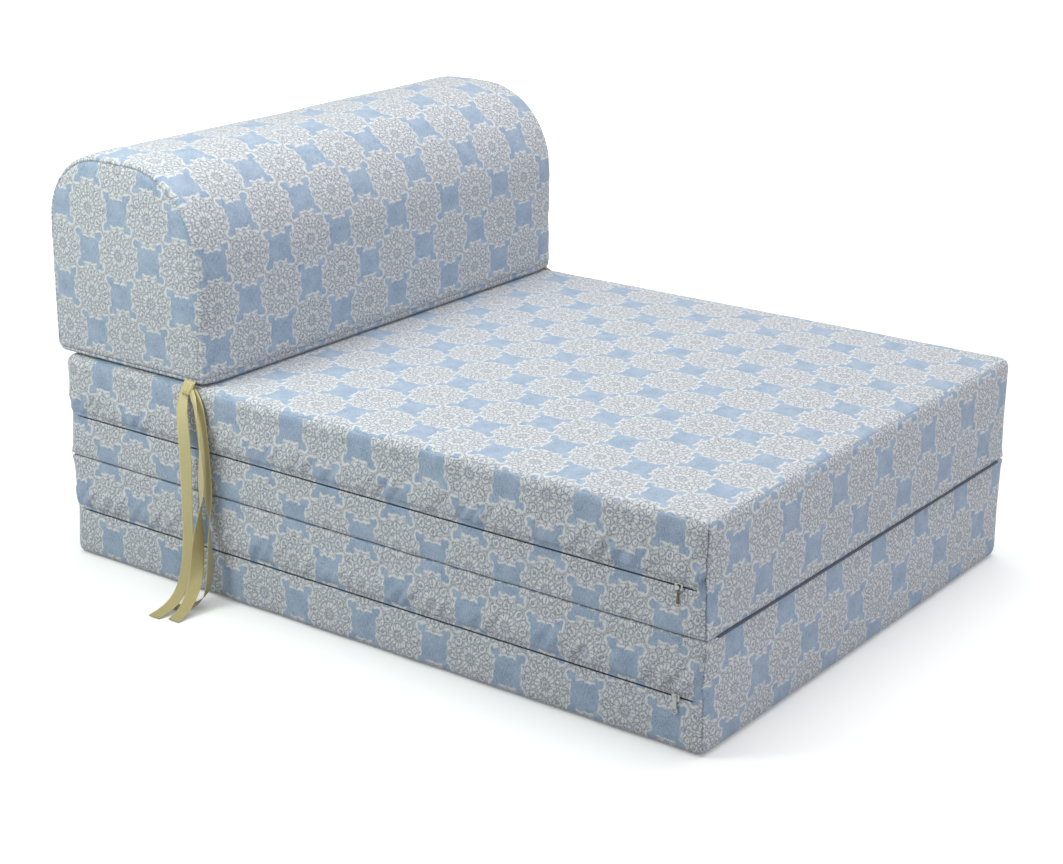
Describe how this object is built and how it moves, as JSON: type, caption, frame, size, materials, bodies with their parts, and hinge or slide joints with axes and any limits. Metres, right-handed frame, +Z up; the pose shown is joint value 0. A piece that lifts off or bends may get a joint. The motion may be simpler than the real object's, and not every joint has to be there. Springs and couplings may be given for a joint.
{
  "type": "folding chair bed",
  "caption": "Zipped foam slabs stacked as a seat with a round-topped backrest; the slabs unfold about cloth hinges into a guest bed",
  "frame": {"origin": "on the floor under the middle of the chair's outline, ribbon ties left out", "axes": "+Z up, the open side of the seat faces -Y, +X to the right as seen from the front"},
  "size_m": [0.8142, 0.8942, 0.4846],
  "materials": {
    "printed_cloth": "matte",
    "foam": "matte",
    "zip_tape": "matte",
    "zip_teeth": "satin",
    "zip_metal": "satin",
    "ribbon": "satin",
    "hinge_cloth": "matte"
  },
  "bodies": {
    "lower_slab": {"lower_cover": "printed_cloth", "lower_foam": "foam", "lower_zip_tape_top": "zip_tape", "lower_zip_tape_bottom": "zip_tape", "lower_zip_teeth_top": "zip_teeth", "lower_zip_teeth_bottom": "zip_teeth", "lower_zip_first_stop": "zip_metal", "lower_zip_last_stop": "zip_metal", "front_hinge_lower_leaf": "hinge_cloth"},
    "upper_slab": {"upper_cover": "printed_cloth", "upper_foam": "foam", "upper_zip_tape_top": "zip_tape", "upper_zip_tape_bottom": "zip_tape", "upper_zip_teeth_top": "zip_teeth", "upper_zip_teeth_bottom": "zip_teeth", "upper_zip_first_stop": "zip_metal", "upper_zip_last_stop": "zip_metal", "front_hinge_upper_leaf": "hinge_cloth", "rear_hinge_slab_leaf": "hinge_cloth"},
    "backrest": {"backrest_wrap": "printed_cloth", "backrest_left_end": "printed_cloth", "backrest_right_end": "printed_cloth", "backrest_base": "printed_cloth", "backrest_foam": "foam", "backrest_zip_tape_top": "zip_tape", "backrest_zip_tape_bottom": "zip_tape", "backrest_zip_teeth_top": "zip_teeth", "backrest_zip_teeth_bottom": "zip_teeth", "backrest_zip_first_stop": "zip_metal", "backrest_zip_last_stop": "zip_metal", "rear_hinge_backrest_leaf": "hinge_cloth", "left_tie_tab": "ribbon", "left_tie_rear_tail": "ribbon", "left_tie_middle_tail": "ribbon", "left_tie_front_tail": "ribbon", "right_tie_tab": "ribbon", "right_tie_rear_tail": "ribbon", "right_tie_middle_tail": "ribbon", "right_tie_front_tail": "ribbon"},
    "lower_slider": {"lower_zip_slider": "zip_metal"},
    "lower_pull": {"lower_zip_pull": "zip_metal"},
    "upper_slider": {"upper_zip_slider": "zip_metal"},
    "upper_pull": {"upper_zip_pull": "zip_metal"},
    "backrest_slider": {"backrest_zip_slider": "zip_metal"}
  },
  "joints": [
    {"name": "front_fold", "type": "hinge", "parent": "lower_slab", "child": "upper_slab", "pos_m": [0, -0.4465, 0.12215], "axis": [1, 0, 0], "range_deg": [0, 180]},
    {"name": "back_fold", "type": "hinge", "parent": "upper_slab", "child": "backrest", "pos_m": [0, 0.4414, 0.24445], "axis": [-1, 0, 0], "range_deg": [0, 180]},
    {"name": "lower_zip", "type": "slide", "parent": "lower_slab", "child": "lower_slider", "axis": [0, 1, 0], "range_m": [-0.0085, 0.8175]},
    {"name": "lower_pull_swing", "type": "hinge", "parent": "lower_slider", "child": "lower_pull", "pos_m": [-0.32455, -0.4105, 0.056], "axis": [-1, 0, 0], "range_deg": [-85, 85]},
    {"name": "upper_zip", "type": "slide", "parent": "upper_slab", "child": "upper_slider", "axis": [0, 1, 0], "range_m": [-0.0085, 0.8175]},
    {"name": "upper_pull_swing", "type": "hinge", "parent": "upper_slider", "child": "upper_pull", "pos_m": [-0.32455, -0.4105, 0.1713], "axis": [-1, 0, 0], "range_deg": [-85, 85]},
    {"name": "backrest_zip", "type": "slide", "parent": "backrest", "child": "backrest_slider", "axis": [-1, 0, 0], "range_m": [-0.0085, 0.5455]}
  ]
}
